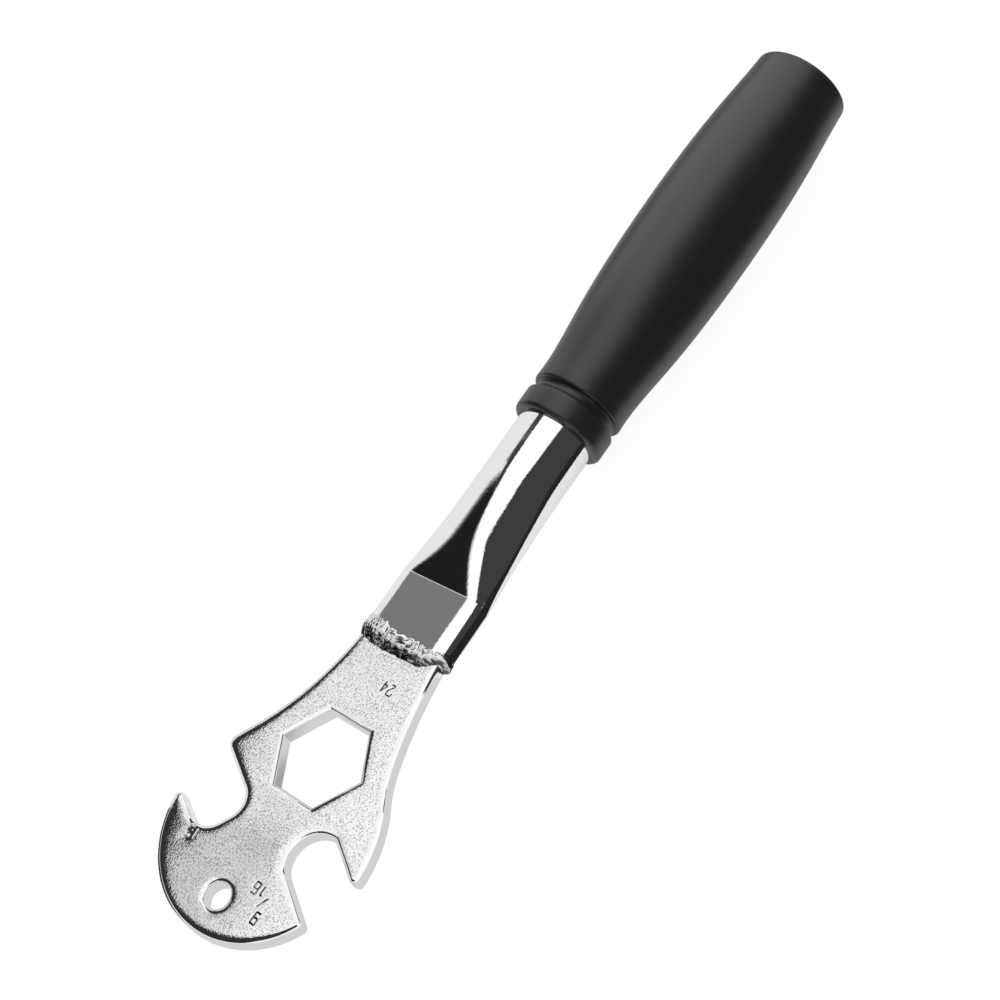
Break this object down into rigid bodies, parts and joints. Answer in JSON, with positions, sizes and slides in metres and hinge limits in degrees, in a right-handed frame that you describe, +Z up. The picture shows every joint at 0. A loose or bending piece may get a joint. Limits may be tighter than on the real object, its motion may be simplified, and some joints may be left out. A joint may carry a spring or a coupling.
{
  "type": "bicycle multi wrench",
  "caption": "Flat wrench head with a hexagon hole, open jaws and a hanging hole, welded to a pressed-flat tube handle with a moulded grip.",
  "frame": {"origin": "on the floor under the middle of the wrench as it lies, which is the bottom centre of its box", "axes": "+X along the handle from the head to the grip, +Y across the handle to the 15 mm jaw's side, +Z up; the handle rises 3.9 degrees from the head to the grip"},
  "size_m": [0.2898, 0.0616, 0.0361],
  "materials": {
    "head_chrome": "chrome over a shot-blasted face, smooth at the edge rounds and walls",
    "tube_chrome": "polished chrome",
    "weld": "chrome over a rippled weld",
    "grip": "satin"
  },
  "bodies": {
    "root": {"head_plate": "head_chrome", "handle_tube": "tube_chrome", "weld_bead": "weld", "grip": "grip"}
  },
  "joints": []
}
